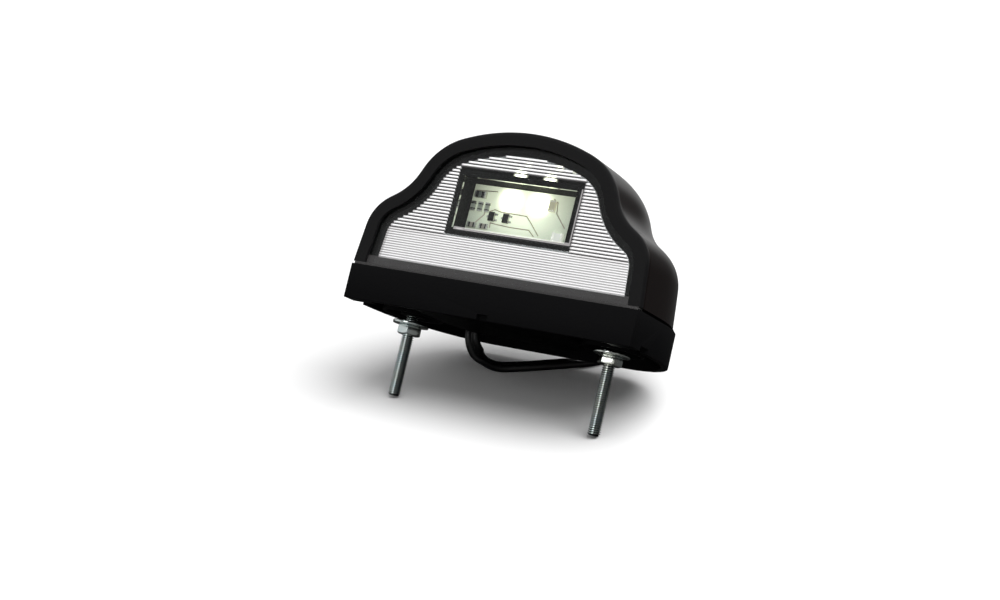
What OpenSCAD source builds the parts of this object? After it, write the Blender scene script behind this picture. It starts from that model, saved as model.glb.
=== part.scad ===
/* [Base] */
// Width of the base
base_w = 103; // [98:0.5:110]
// Depth of the base from its front face to its back
base_d = 61; // [58:0.5:68]
// Height of the base
base_h = 11.4; // [11:0.2:14]
// Depth over which the sides of the base run straight
base_side = 22; // [18:1:26]
// How far each rounded rear corner reaches in from the side
corner_w = 27.5; // [22:0.5:32]
// Radius of the front corners
front_r = 0.8; // [0.4:0.2:4]
// Thickness of the side wall
base_wall = 2.4; // [2.2:0.1:3]
// Height of the deck's lower face above the bracket
deck_z = 4.5; // [3.8:0.1:5]
// Thickness of the deck
deck_t = 2.4; // [1.8:0.1:3]
// Half width of the flat land in the middle of the underside
land_w = 25.5; // [18:0.5:25.5]
// How far the land reaches behind the line of the studs
land_back = 16.5; // [12:0.5:18]
// Corner radius of the land
land_r = 15; // [8:1:18]
// Thickness of the land
land_t = 2.2; // [1.6:0.1:3]
// Width of the two feet in the front corners
foot_w = 9; // [6:0.5:12]
// Depth of the feet from front to back
foot_d = 7; // [5:0.2:9]
// Width of the drain notch behind each foot
drain_w = 6.2; // [4:0.1:7]
// Height of the drain notches
drain_h = 1.6; // [1:0.1:3]
// Width of the notch in the front edge
notch_w = 3.7; // [2:0.1:6]
// Depth of the front notch
notch_d = 1.6; // [1:0.1:2]
// Height of the front notch
notch_h = 1.8; // [1:0.1:2.5]
// Distance from the base's outline to the seal
seal_inset = 0.7; // [0.5:0.1:1]
// Width of the seal
seal_w = 1; // [0.6:0.1:1.1]
// Height of the seal in its groove
seal_t = 1; // [0.6:0.1:1.5]

/* [Studs] */
// Distance between the two studs
stud_pitch = 73; // [68:0.5:76]
// Distance from the front face to the line of the studs
stud_back = 21.2; // [20:0.2:23]
// Thread outside diameter
stud_d = 4; // [4:1:5]
// Length that stands out below the base
stud_out = 26.8; // [20:0.2:27]
// Size of the stud head and of the nut across flats
hex_af = 7; // [7:0.5:8]
// Height of the stud head
head_h = 2.8; // [2:0.1:3.2]
// Height of the seat above the deck that the stud head lies on
seat_h = 1.3; // [0.8:0.1:1.6]
// Radius of that seat
seat_r = 5.6; // [5:0.1:6.5]
// Height of the nut
nut_h = 3.2; // [2.8:0.1:4]
// Outside diameter of the washer
washer_d = 12; // [9:0.5:14]
// Thickness of the washer
washer_t = 1; // [0.8:0.1:1.2]
// How far the left washer hangs below its boss
left_drop = 2.2; // [0:0.1:4]
// How far the right washer hangs below its boss
right_drop = 0.2; // [0:0.1:4]
// Radius of the boss around each stud
boss_r = 4; // [3.5:0.1:5]
// Outside radius of the ring around each boss
ring_r = 10.3; // [8:0.1:10.5]
// Thickness of that ring
ring_t = 1.2; // [0.8:0.1:2]
// Clearance between the stud and its hole
stud_clear = 0.15; // [0.1:0.05:0.3]
// Depth from the crests of the thread to the middle of its flanks
thread_t = 0.23; // [0.2:0.01:0.3]

/* [Hood] */
// Height of the hood above the base
hood_h = 50.5; // [48:0.5:56]
// Radius of the crown
crown_r = 62; // [55:1:80]
// Radius of the crown's shoulders
crown_corner_r = 21.2; // [18:0.1:22]
// Distance from the middle to the centre of that radius
crown_corner_x = 15.2; // [13:0.2:17]
// Radius of the hollow between crown and side
valley_r = 18.8; // [14:0.2:20]
// Radius of the lower shoulder
shoulder_r = 13.7; // [12:0.1:14]
// Height of the lower shoulder's centre above the base
shoulder_z = 12.2; // [11:0.2:14]
// Draft of the sides in degrees
side_draft = 5; // [3:0.5:6]
// Backward lean of the front face in degrees
face_lean = 2; // [0:0.5:4]
// How far the front face of the hood is set back from the base
face_set = 0.7; // [0.5:0.1:1.5]
// Wall thickness of the hood
hood_wall = 2; // [1.6:0.1:2.4]
// Width of the band around the lens
band_w = 4.4; // [3.6:0.1:4.8]
// Thickness of that band
band_t = 1.2; // [1:0.1:1.6]
// Rounding of the front edge
edge_r = 0.4; // [0.3:0.1:1]
// Ledge that the base shows behind the hood
ledge = 1.6; // [0.8:0.1:2]
// Share of the height that is left at the rear face
rear_share = 0.62; // [0.5:0.02:0.75]
// How full the top stays towards the rear, where lower is fuller
rear_power = 0.55; // [0.4:0.05:1]

/* [Lens] */
// Thickness of the lens wall
lens_t = 2; // [1.6:0.1:2.4]
// How far the lens reaches in under the band
lens_lap = 1.5; // [1:0.1:1.8]
// Thickness of the lens foot between hood and base
lens_foot_t = 0.9; // [0.7:0.1:1.2]
// Width of the lens foot
lens_foot_w = 3.6; // [3:0.1:4.4]
// Distance from the hood's outline to the ribbed field
rib_inset = 7.1; // [6.4:0.1:8]
// Height of the lowest rib above the base
rib_z = 3.9; // [3.4:0.1:5]
// Spacing of the ribs
rib_pitch = 1.1; // [0.9:0.1:1.6]
// Height of a rib
rib_h = 0.45; // [0.3:0.05:0.6]
// Height above the base up to which the ribs are fine
fine_top = 15; // [10:0.5:16]
// Spacing of the fine ribs
fine_pitch = 0.8; // [0.7:0.05:1]
// Height of a fine rib
fine_h = 0.2; // [0.15:0.05:0.4]
// Thickness of the clear pad that fills the window
pad_t = 1.5; // [1:0.1:2]
// Distance from the base's outline to the lens foot
foot_inset = 0.8; // [0.5:0.1:1.2]
// Gap between the lens and what lies in front of or behind it
lens_gap = 0.1; // [0.05:0.05:0.2]
// Clearance around the lamp body's legs and its outline
body_clear = 0.3; // [0.2:0.05:0.5]

/* [Lamp body] */
// Width of the window
window_w = 41; // [38:0.5:43]
// Height of the window
window_h = 17.8; // [16:0.2:19]
// Height of the window's middle above the base
window_z = 25.9; // [25:0.1:27]
// Wall thickness of the window box
box_wall = 1.8; // [1.4:0.1:2]
// Distance from the hood's face to the circuit board
board_depth = 12.3; // [11:0.1:14]
// Thickness of the circuit board
board_t = 1.6; // [1:0.2:1.6]
// Clearance around the circuit board
board_clear = 0.3; // [0.2:0.05:0.5]
// Wall thickness of the inner body
body_t = 1.5; // [1.2:0.1:2]
// Thickness of the reflector
reflector_t = 0.4; // [0.3:0.1:0.6]
// Gap between the ribs and the reflector
reflector_gap = 0.25; // [0.15:0.05:0.5]
// Width of each leg that the lamp body stands on
leg_w = 8; // [5:0.5:10]
// Distance from the middle to the centre of each leg
leg_x = 33; // [28:0.5:36]

/* [Lights] */
// Side of an LED
led_w = 5; // [3.5:0.1:5.4]
// Height of an LED
led_h = 1.6; // [1:0.1:2]
// Distance between the two LEDs
led_pitch = 10.6; // [9:0.1:12]
// Place of the middle between the LEDs, across the window
led_x = -1; // [-2:0.1:2]
// Height of the LEDs above the window's middle
led_z = 4.8; // [3.5:0.1:5.5]
// Radius of the glowing emitter in an LED
emitter_r = 1.9; // [1.2:0.1:2.1]
// Thickness of the emitter
emitter_t = 0.4; // [0.2:0.1:0.8]

/* [Lead] */
// Diameter of each core of the flat twin lead
core_d = 2.6; // [2.2:0.1:3]
// Width of the lead
lead_w = 5.2; // [4.6:0.1:6]
// Radius of the gland's flanges
gland_r = 4.4; // [4:0.1:5]
// Thickness of the gland's flanges
gland_t = 1.6; // [1.2:0.1:2]
// Radius of the gland's neck
gland_neck_r = 2.8; // [2:0.1:3]
// Clearance between the gland's neck and the deck
gland_fit = 0.1; // [0.05:0.05:0.2]
// Gap between the gland's flange and the land's rounded corner
gland_gap = 0.42; // [0.2:0.02:1]
// Direction from the centre of that corner to the gland in degrees
gland_turn = 52.4; // [45:0.2:60]
// Diameter of the wires inside the lamp
wire_d = 1.6; // [1.2:0.1:1.8]
// Number of turns in the coil
coil_turns = 2; // [2:1:3]
// Radius of the coil's outer turn
coil_r = 29.4; // [26:0.2:32]
// Diameter of the copper in each core
copper_d = 1; // [0.8:0.1:1.4]

/* [Hidden] */
$fn = 64;

black = "#1b1b1c";
steel = "#b9c4c6";
clear_colour = [0.85, 0.88, 0.88, 0.45];
face_y = face_set - stud_back;
side_end = base_side - stud_back;
deck_top = deck_z + deck_t;
same_point = 0.01;

// points of a circular arc
function arc(c, r, a0, a1, n) =
    [for (i = [0:n]) let (a = a0 + (a1 - a0) * i / n) c + r * [cos(a), sin(a)]];
function mirrored(half) = concat(half,
    [for (i = [len(half) - 1:-1:0]) if (half[i][0] > same_point) [-half[i][0], half[i][1]]]);
function unit(v) = v / norm(v);

// plan of the base, moved in by an inset
plan_front_n = 4;
plan_rear_n = 16;
function plan(inset) =
    let (w = base_w / 2 - inset, front = inset - stud_back, r = max(front_r - inset, same_point * 10),
        b = base_d - base_side - inset, c = corner_w - inset)
    mirrored(concat(
        arc([w - r, front + r], r, -90, 0, plan_front_n),
        [for (i = [0:plan_rear_n]) let (a = i * 90 / plan_rear_n)
            [w - c + c * cos(a), side_end + b * sin(a)]]));

// outline of the hood's front: side, shoulder, valley, crown corner and crown, as tangent arcs
side_n = [cos(side_draft), sin(side_draft)];
shoulder_c = [(side_n[0] * base_w / 2 - shoulder_r - side_n[1] * shoulder_z) / side_n[0], shoulder_z];
crown_c = [0, hood_h - crown_r];
corner_c = [crown_corner_x,
    crown_c[1] + sqrt(pow(crown_r - crown_corner_r, 2) - pow(crown_corner_x, 2))];
centre_gap = norm(shoulder_c - corner_c);
centre_dir = unit(shoulder_c - corner_c);
valley_along = (pow(crown_corner_r + valley_r, 2) - pow(shoulder_r + valley_r, 2) + pow(centre_gap, 2))
    / (2 * centre_gap);
valley_out = sqrt(pow(crown_corner_r + valley_r, 2) - pow(valley_along, 2));
valley_c = corner_c + centre_dir * valley_along + [-centre_dir[1], centre_dir[0]] * valley_out;
function angle_to(from, to) = atan2(to[1] - from[1], to[0] - from[0]);
shoulder_end = angle_to(shoulder_c, valley_c);
corner_start = angle_to(corner_c, valley_c);
corner_end = angle_to(crown_c, corner_c);
shoulder_n = 7;
valley_n = 7;
corner_n = 9;
crown_n = 5;
function side_x(z, inset) = base_w / 2 - z * tan(side_draft) - inset / cos(side_draft);
function bell_half(inset, z0) = concat(
    [[side_x(z0, inset), z0]],
    arc(shoulder_c, shoulder_r - inset, side_draft, shoulder_end, shoulder_n),
    arc(valley_c, valley_r + inset, shoulder_end - 180, corner_start - 180, valley_n),
    arc(corner_c, crown_corner_r - inset, corner_start, corner_end, corner_n),
    arc(crown_c, crown_r - inset, corner_end, 90, crown_n));
// neighbouring arcs share their end points, so the second copy is left out
function without_copies(p) =
    [for (i = [0:len(p) - 1]) if (i == 0 || norm(p[i] - p[max(i - 1, 0)]) > same_point) p[i]];
function bell(inset, z0) = mirrored(without_copies(bell_half(inset, z0)));

// half width of that outline at a height
function arc_x(c, r, z, side) = c[0] + side * sqrt(max(r * r - pow(z - c[1], 2), 0));
function bell_x(z, inset) =
    let (shoulder_low = shoulder_z + (shoulder_r - inset) * sin(side_draft),
        shoulder_top = shoulder_z + (shoulder_r - inset) * sin(shoulder_end),
        corner_low = corner_c[1] + (crown_corner_r - inset) * sin(corner_start),
        corner_top = corner_c[1] + (crown_corner_r - inset) * sin(corner_end))
    z < shoulder_low ? side_x(z, inset)
    : z < shoulder_top ? arc_x(shoulder_c, shoulder_r - inset, z, 1)
    : z < corner_low ? arc_x(valley_c, valley_r + inset, z, -1)
    : z < corner_top ? arc_x(corner_c, crown_corner_r - inset, z, 1)
    : arc_x(crown_c, crown_r - inset, z, 1);

// the leaning frame of the front face: X across, Y into the lamp, Z up along the face
module on_face() {
    translate([0, face_y, base_h])
        rotate([-face_lean, 0, 0])
            children();
}

// a flat outline drawn in X and Z, from one depth to another
module slab(from, to) {
    translate([0, to, 0])
        rotate([90, 0, 0])
            linear_extrude(to - from)
                children();
}

module up(from, to) {
    translate([0, 0, from])
        linear_extrude(to - from)
            children();
}

// a ring between two insets of the base's plan
module plan_ring(outer, inner) {
    difference() {
        polygon(plan(outer));
        polygon(plan(inner));
    }
}

module sides() {
    for (s = [-1, 1])
        translate([s * stud_pitch / 2, 0, 0])
            children();
}

// Base: a tray whose deck steps down to the flat land that lies on the bracket
past = 1;
land_corner_n = 8;
inside_wall = base_wall / 2;
head_z = deck_top + seat_h;
hole_r = stud_d / 2 + stud_clear;
function land(inset) =
    let (w = land_w - inset, r = land_r - inset, back = land_back - inset)
    mirrored(concat([[w, inset - stud_back]], arc([w - r, back - r], r, 0, 90, land_corner_n)));
gland_from = land_r + gland_r + gland_gap;
gland_at = [land_r - land_w - gland_from * cos(gland_turn),
    land_back - land_r + gland_from * sin(gland_turn)];

module base_land() {
    intersection() {
        union() {
            up(0, land_t)
                polygon(land(0));
            up(0, deck_top)
                difference() {
                    polygon(land(0));
                    polygon(land(base_wall));
                }
        }
        up(0, deck_top)
            polygon(plan(inside_wall));
    }
}

module base_feet() {
    intersection() {
        up(0, deck_z + deck_t / 2)
            polygon(plan(inside_wall));
        for (s = [-1, 1])
            translate([s * (base_w - foot_w) / 2 - foot_w / 2, -stud_back, 0])
                cube([foot_w, foot_d, base_h]);
    }
}

module base_bosses() {
    sides() {
        cylinder(h = deck_top, r = boss_r);
        translate([0, 0, deck_z])
            cylinder(h = head_z - deck_z, r = seat_r);
        difference() {
            cylinder(h = deck_z + deck_t / 2, r = ring_r);
            translate([0, 0, -past])
                cylinder(h = deck_z + past, r = ring_r - ring_t);
        }
    }
}

module base_cuts() {
    sides()
        translate([0, 0, -past])
            cylinder(h = head_z + 2 * past, r = hole_r);
    translate([gland_at[0], gland_at[1], -past]) {
        cylinder(h = base_h, r = gland_neck_r + gland_fit);
        cylinder(h = deck_z + past, r = gland_r + gland_fit);
    }
    for (s = [-1, 1])
        translate([s * base_w / 2 - base_wall, foot_d - stud_back, -past])
            cube([2 * base_wall, drain_w, drain_h + past]);
    translate([-notch_w / 2, -stud_back - past, -past])
        cube([notch_w, notch_d + past, notch_h + past]);
    up(base_h - seal_t, base_h + past)
        plan_ring(seal_inset, seal_inset + seal_w);
}

module base() {
    color(black)
        difference() {
            union() {
                up(0, base_h)
                    plan_ring(0, base_wall);
                up(deck_z, deck_top)
                    difference() {
                        polygon(plan(inside_wall));
                        polygon(land(base_wall));
                    }
                base_land();
                base_feet();
                base_bosses();
            }
            base_cuts();
        }
}

module seal() {
    color("dimgray")
        up(base_h - seal_t, base_h)
            plan_ring(seal_inset, seal_inset + seal_w);
}

// Studs, washers and nuts
tip_chamfer = 0.5;
hex_corner_r = hex_af / 2 / cos(30);
hex_chamfer = 0.35;
nut_turn = 12;
free_gap = 0.2;

// a hexagon with its corners turned down at both faces
module hex(h) {
    intersection() {
        cylinder(h = h, r = hex_corner_r, $fn = 6);
        rotate_extrude()
            polygon([[0, 0], [hex_corner_r - 2 * hex_chamfer, 0], [hex_corner_r, hex_chamfer],
                [hex_corner_r, h - hex_chamfer], [hex_corner_r - 2 * hex_chamfer, h], [0, h]]);
    }
}

// a stud is drawn at the thread's crests up to the nut, and at the thread's middle from there on
module stud(side, drop) {
    held_r = stud_d / 2 - thread_t;
    free_top = -drop - washer_t - nut_h - free_gap;
    color(steel)
        translate([side * stud_pitch / 2, 0, 0]) {
            translate([0, 0, head_z])
                hex(head_h);
            rotate_extrude()
                polygon([[0, -stud_out], [stud_d / 2 - tip_chamfer, -stud_out],
                    [stud_d / 2, tip_chamfer - stud_out], [stud_d / 2, free_top],
                    [held_r, free_top], [held_r, head_z + tip_chamfer],
                    [0, head_z + tip_chamfer]]);
        }
}

module washer(side, drop) {
    color(steel)
        translate([side * stud_pitch / 2, 0, -drop - washer_t])
            difference() {
                cylinder(h = washer_t, r = washer_d / 2);
                translate([0, 0, -past])
                    cylinder(h = washer_t + 2 * past, r = hole_r);
            }
}

module nut(side, drop) {
    color(steel)
        translate([side * stud_pitch / 2, 0, -drop - washer_t - nut_h])
            rotate([0, 0, side * nut_turn])
                difference() {
                    hex(nut_h);
                    translate([0, 0, -past])
                        cylinder(h = nut_h + 2 * past, r = stud_d / 2 - thread_t + stud_clear / 2);
                }
}

// Hood: rings of the outline from the front edge to the back, then forward again inside
hood_z0 = lens_foot_t;
rear_n = 9;
side_shares = [0, 0.5];
function hood_width(q, inset) =
    (base_w / 2 - corner_w + corner_w * cos(q) - ledge * sin(q) - inset) / (base_w / 2 - inset);
function front_ring(inset, depth) =
    [for (p = bell(inset, hood_z0)) [p[0], face_y + depth + p[1] * tan(face_lean), base_h + p[1]]];
function side_ring(share) =
    [for (p = bell(0, hood_z0))
        let (edge_y = face_y + edge_r + p[1] * tan(face_lean))
        [p[0], edge_y + (side_end - edge_y) * share, base_h + p[1]]];
function rear_ring(inset, q) =
    let (height = rear_share + (1 - rear_share) * pow(max(cos(q), 0), rear_power))
    [for (p = bell(inset, hood_z0))
        [p[0] * hood_width(q, inset),
            side_end + (base_d - base_side - ledge - inset) * sin(q),
            base_h + hood_z0 + (p[1] - hood_z0) * height]];
hood_rings = concat(
    [front_ring(edge_r, 0)],
    [for (s = side_shares) side_ring(s)],
    [for (i = [0:rear_n]) rear_ring(0, i * 90 / rear_n)],
    [for (i = [rear_n:-1:0]) rear_ring(hood_wall, i * 90 / rear_n)],
    [front_ring(hood_wall, band_t), front_ring(band_w, band_t), front_ring(band_w, 0)]);

// the skin between neighbouring rings, the two foot faces and the rear panel in and out
module hood() {
    rings = len(hood_rings);
    pts = len(hood_rings[0]);
    rear = rear_n + 1 + len(side_shares);
    skin = [for (v = [0:rings - 1]) if (v != rear) for (u = [0:pts - 2])
        let (a = v * pts + u, b = ((v + 1) % rings) * pts + u)
        each [[a, a + 1, b + 1], [a, b + 1, b]]];
    rear_out = [for (u = [0:pts - 1]) rear * pts + u];
    rear_in = [for (u = [pts - 1:-1:0]) (rear + 1) * pts + u];
    rear_foot = [rear * pts, rear * pts + pts - 1, (rear + 2) * pts - 1, (rear + 1) * pts];
    right_foot = [for (v = [0:rings - 1]) v * pts];
    left_foot = [for (v = [rings - 1:-1:0]) v * pts + pts - 1];
    color(black)
        polyhedron(
            points = [for (r = hood_rings) each r],
            faces = concat(skin, [rear_out, rear_in, rear_foot, right_foot, left_foot]),
            convexity = 6);
}

// Depths behind the front face, from the lens back to the circuit board
lens_y = band_t + lens_gap;
lens_back = lens_y + lens_t;
body_y = lens_back + lens_gap;
reflector_y = lens_back + rib_h + reflector_gap;
plate_y = reflector_y + reflector_t;
plate_back = plate_y + body_t;
board_back = board_depth + board_t;
box_back = board_back + body_t;
box_w = window_w + 2 * box_wall;
box_h = window_h + 2 * box_wall;
board_w = window_w - 2 * board_clear;
board_h = window_h - 2 * board_clear;
rib_top = hood_h - rib_inset;
rib_root = 0.2;
fine_n = floor((fine_top - rib_z) / fine_pitch);

module at_window(w, h) {
    translate([0, window_z])
        square([w, h], center = true);
}

// where the lamp body's legs stand, seen from above
module legs(clear) {
    for (s = [-1, 1])
        on_face()
            translate([s * leg_x - leg_w / 2 - clear, plate_y - clear, -base_h])
                cube([leg_w + 2 * clear, body_t + 2 * clear, base_h + rib_z]);
}

// one rib across the ribbed field, in two halves that stop at the window box
module rib(z, pitch, height) {
    end = min(bell_x(z, rib_inset), bell_x(z + pitch, rib_inset));
    beside_box = abs(z + pitch / 2 - window_z) < (box_h + pitch) / 2;
    start = beside_box ? box_w / 2 + 2 * lens_gap : 0;
    for (s = [-1, 1])
        translate([s > 0 ? start : -end, lens_back, z])
            rotate([90, 0, 90])
                linear_extrude(end - start)
                    polygon([[-rib_root, 0], [0, 0], [height, pitch / 2],
                        [0, pitch], [-rib_root, pitch]]);
}

module lens() {
    color(clear_colour) {
        difference() {
            up(base_h, base_h + lens_foot_t)
                plan_ring(foot_inset, foot_inset + lens_foot_w);
            legs(body_clear);
        }
        on_face() {
            slab(lens_y, lens_back)
                polygon(bell(band_w - lens_lap, lens_foot_t / 2));
            slab(lens_back, lens_back + pad_t)
                at_window(board_w, board_h);
            for (i = [0:fine_n - 1])
                rib(rib_z + i * fine_pitch, fine_pitch, fine_h);
            for (z = [rib_z + fine_n * fine_pitch:rib_pitch:rib_top - rib_pitch])
                rib(z, rib_pitch, rib_h);
        }
    }
}

// Lamp body: a plate behind the ribs, with a box for the board and two legs down to the deck
wire_slot_x = -14.6;
wire_slot_w = 6;
wire_slot_h = 2.4;
wire_slot_z = window_z - window_h / 3;

module inner_body() {
    color(black) {
        on_face()
            difference() {
                union() {
                    slab(body_y, plate_back)
                        polygon(bell(hood_wall + body_clear, hood_z0 + body_clear));
                    slab(body_y, box_back)
                        at_window(box_w, box_h);
                }
                slab(body_y - past, plate_y)
                    difference() {
                        polygon(bell(rib_inset - lens_gap, rib_z - lens_gap));
                        at_window(box_w, box_h);
                    }
                slab(body_y - past, board_back)
                    at_window(window_w, window_h);
                slab(board_back - past, box_back + past)
                    translate([wire_slot_x, wire_slot_z])
                        square([wire_slot_w, wire_slot_h], center = true);
            }
        difference() {
            legs(0);
            up(-base_h, deck_top)
                polygon(plan(0));
        }
    }
}

module reflector() {
    color("silver")
        on_face()
            slab(reflector_y, plate_y)
                difference() {
                    polygon(bell(rib_inset, rib_z));
                    at_window(box_w + 2 * lens_gap, box_h + 2 * lens_gap);
                }
}

module circuit_board() {
    color("#dfe8dc")
        on_face()
            slab(board_depth, board_back)
                at_window(board_w, board_h);
}

// pieces on the board, placed from the middle of the window, with Z towards the lens
module on_board(x, z) {
    on_face()
        translate([x, board_depth, window_z + z])
            rotate([90, 0, 0])
                children();
}

led_pin_l = 0.6;
led_pin_w = 0.9;
led_pin_t = 0.2;
led_pin_pitch = led_w / 3;
module led(side) {
    color("white")
        on_board(led_x + side * led_pitch / 2, led_z)
            difference() {
                union() {
                    translate([-led_w / 2, -led_w / 2, 0])
                        cube([led_w, led_w, led_h]);
                    for (i = [-1:1])
                        translate([-led_w / 2 - led_pin_l, i * led_pin_pitch - led_pin_w / 2, 0])
                            cube([led_w + 2 * led_pin_l, led_pin_w, led_pin_t]);
                }
                translate([0, 0, led_h - emitter_t])
                    cylinder(h = emitter_t + past, r = emitter_r);
            }
}

module emitter(side) {
    color("#fffbd8")
        on_board(led_x + side * led_pitch / 2, led_z)
            translate([0, 0, led_h - emitter_t])
                cylinder(h = emitter_t, r = emitter_r);
}

// a chip with metal end caps; size is its length, width and height
cap_over = 0.05;
module chip(size, cap, body_colour) {
    color(body_colour)
        translate([-size[0] / 2 + cap, -size[1] / 2, 0])
            cube([size[0] - 2 * cap, size[1], size[2]]);
    color("silver")
        for (s = [-1, 1])
            translate([s * (size[0] - cap) / 2 - cap / 2, -size[1] / 2 - cap_over, 0])
                cube([cap, size[1] + 2 * cap_over, size[2] + cap_over]);
}

resistor_size = [3.1, 1.55, 0.6];
resistor_cap = 0.5;
upright_at = [-19, 1.2];
upright_pitch = 2.6;
flat_at = [-17.9, -5.1];
flat_pitch = 4.4;
module resistor_upright(i) {
    on_board(upright_at[0] + i * upright_pitch, upright_at[1])
        rotate([0, 0, 90])
            chip(resistor_size, resistor_cap, "#3a3a38");
}
module resistor_flat(i) {
    on_board(flat_at[0] + i * flat_pitch, flat_at[1])
        chip(resistor_size, resistor_cap, "#3a3a38");
}

big_cap = 0.6;
diode_size = [4.1, 2, 1.2];
diode_at = [-17.1, 5.1];
module diode() {
    on_board(diode_at[0], diode_at[1])
        chip(diode_size, big_cap, "#2b2b2b");
}

capacitor_size = [3.8, 2, 1.2];
capacitor_at = [9.2, 4.5];
module capacitor() {
    on_board(capacitor_at[0], capacitor_at[1])
        rotate([0, 0, 90])
            chip(capacitor_size, big_cap, "#d8cfa8");
}

fuse_size = [3.6, 2.6, 1];
fuse_at = [13.4, -5.3];
module fuse() {
    on_board(fuse_at[0], fuse_at[1])
        chip(fuse_size, big_cap, "#f0efe6");
}

// a regulator with one wide pin on its left and two on its right
regulator_size = [2.1, 3, 1];
regulator_pin = [0.9, 0.7, 0.25];
regulator_pin_pitch = 1.9;
regulator_at = [-11.3, -1.6];
regulator_pitch = 5.2;
module regulator(i) {
    on_board(regulator_at[0] + i * regulator_pitch, regulator_at[1]) {
        color("#262626")
            translate([-regulator_size[0] / 2, -regulator_size[1] / 2, 0])
                cube(regulator_size);
        color("silver")
            for (pin = [[-1, 0], [1, -0.5], [1, 0.5]])
                translate([pin[0] * (regulator_size[0] + regulator_pin[0]) / 2 - regulator_pin[0] / 2,
                    pin[1] * regulator_pin_pitch - regulator_pin[1] / 2, 0])
                    cube(regulator_pin);
    }
}

// Wires and lead: one tube with eight sides swept along its points, round or flat
tube_n = 8;
function heading(p, i) = unit(p[min(i + 1, len(p) - 1)] - p[max(i - 1, 0)]);
function swept(p, w, t, flats) = [for (i = [0:len(p) - 1])
    let (d = heading(p, i), across = unit(cross(flats[i], d)), out = cross(d, across))
    for (k = [0:tube_n - 1]) let (q = (k + 0.5) * 360 / tube_n)
        p[i] + (w * cos(q) * across + t * sin(q) * out) / 2 / cos(180 / tube_n)];
module tube(p, w, t, flats) {
    last = (len(p) - 1) * tube_n;
    polyhedron(
        points = swept(p, w, t, flats),
        faces = concat(
            [[for (k = [0:tube_n - 1]) k]],
            [[for (k = [tube_n - 1:-1:0]) last + k]],
            [for (i = [0:len(p) - 2]) for (k = [0:tube_n - 1])
                let (a = i * tube_n + k, b = i * tube_n + (k + 1) % tube_n)
                each [[a, a + tube_n, b + tube_n], [a, b + tube_n, b]]]),
        convexity = 4);
}

// each wire leaves the board through the slot, arches back and comes down on the gland
wire_gap = 2.6;
solder_gap = 0.05;
gland_top = deck_top + gland_t;
wire_y = face_y + board_back * cos(face_lean) + wire_slot_z * sin(face_lean) + solder_gap;
wire_z = base_h + wire_slot_z * cos(face_lean) - board_back * sin(face_lean);
module wire(side) {
    start = [wire_slot_x + side * wire_gap / 2, wire_y, wire_z];
    end = [gland_at[0] + side * wire_gap / 2, gland_at[1], gland_top];
    way = end - start;
    route = [start, start + [0, 3, -0.1], start + [way[0] * 0.15, 8, -1.4],
        start + [way[0] * 0.45, 13.5, -5], start + [way[0] * 0.85, way[1] - 3.5, way[2] + 12.5],
        end + [0, -0.6, 7.5], end + [0, 0, 4], end];
    tube(route, wire_d, wire_d, [for (p = route) [1, 0, 0]]);
}
module wire_red() {
    color("firebrick")
        wire(1);
}
module wire_black() {
    color(black)
        wire(-1);
}

// the gland fills its hole, with one flange on the deck and one under it
flange_edge = 0.6;
module gland() {
    color(black)
        translate([gland_at[0], gland_at[1], 0])
            rotate_extrude()
                polygon([[0, deck_z - gland_t], [gland_r - flange_edge, deck_z - gland_t],
                    [gland_r, deck_z - gland_t + flange_edge], [gland_r, deck_z],
                    [gland_neck_r, deck_z], [gland_neck_r, deck_top], [gland_r, deck_top],
                    [gland_r, gland_top - flange_edge], [gland_r - flange_edge, gland_top],
                    [0, gland_top]]);
}

// the table that the lamp lies on touches the two stud tips and the lead under the base
table_tilt = 31.7;
tip_r = 1.5;
table_out = 26.8;
table_up = [0, -sin(table_tilt), cos(table_tilt)];
function table_z(y) = (y - tip_r) * tan(table_tilt) - table_out;
lead_start = [gland_at[0], gland_at[1], deck_z - gland_t];
lead_drop = 2.1;
lead_route = [[-22.4, 17.3, -1.3], [-21.7, 18, -3.75],
    [-20.7, 20, -5.95], [-19.4, 23.2, -7.7], [-17.6, 26.3, -8.55], [-15.2, 28.7, -8.47],
    [-12.5, 30.3, -7.49], [-9.4, 31.8, -6.56], [-6.5, 33.4, -5.57], [-3.7, 35.1, -4.52],
    [-0.9, 36.8, -3.47], [1.8, 38.4, -2.48], [4.5, 40.1, -1.43], [7.3, 41.7, -0.45],
    [10, 43.6, 0.73], [12.3, 46, 2.21], [13.6, 49.2, 4.19], [14, 52.6, 6.29], [14, 56, 8.39]];
hang = 14;
module lead() {
    run = concat([lead_start, lead_start - [0, 0, lead_drop]], lead_route);
    color(black)
        tube(run, lead_w, core_d,
            [for (p = run)
                let (lift = p[2] - table_z(p[1]) - core_d / 2 / cos(table_tilt),
                    k = min(max(lift / hang, 0), 1))
                unit((1 - k) * table_up - k * [0, 1, 0])]);
}

// the rest of the lead lies coiled on that table, behind the lamp
run_in = 25;
run_out = 5.8;
run_out_y = 10.8;
lead_last = lead_route[len(lead_route) - 1];
coil_at = [lead_last[0] - coil_r,
    lead_last[1] + run_in * cos(table_tilt) + core_d / 2 * sin(table_tilt)];
coil_in = coil_r - coil_turns * lead_w;
coil_hole = coil_in - lead_w / 2;
module on_table(at) {
    translate([at[0], at[1], table_z(at[1])])
        rotate([table_tilt, 0, 0])
            children();
}
module lead_coil() {
    color(black)
        on_table(coil_at) {
            rotate_extrude()
                translate([coil_hole, 0])
                    square([coil_r + lead_w / 2 - coil_hole, core_d]);
            translate([coil_r - lead_w / 2, -run_in, 0])
                cube([lead_w, run_in, core_d]);
            translate([coil_hole - run_out - lead_w / 2, run_out_y - lead_w / 2, 0])
                cube([run_out + lead_w / 2, lead_w, core_d]);
        }
}

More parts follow.
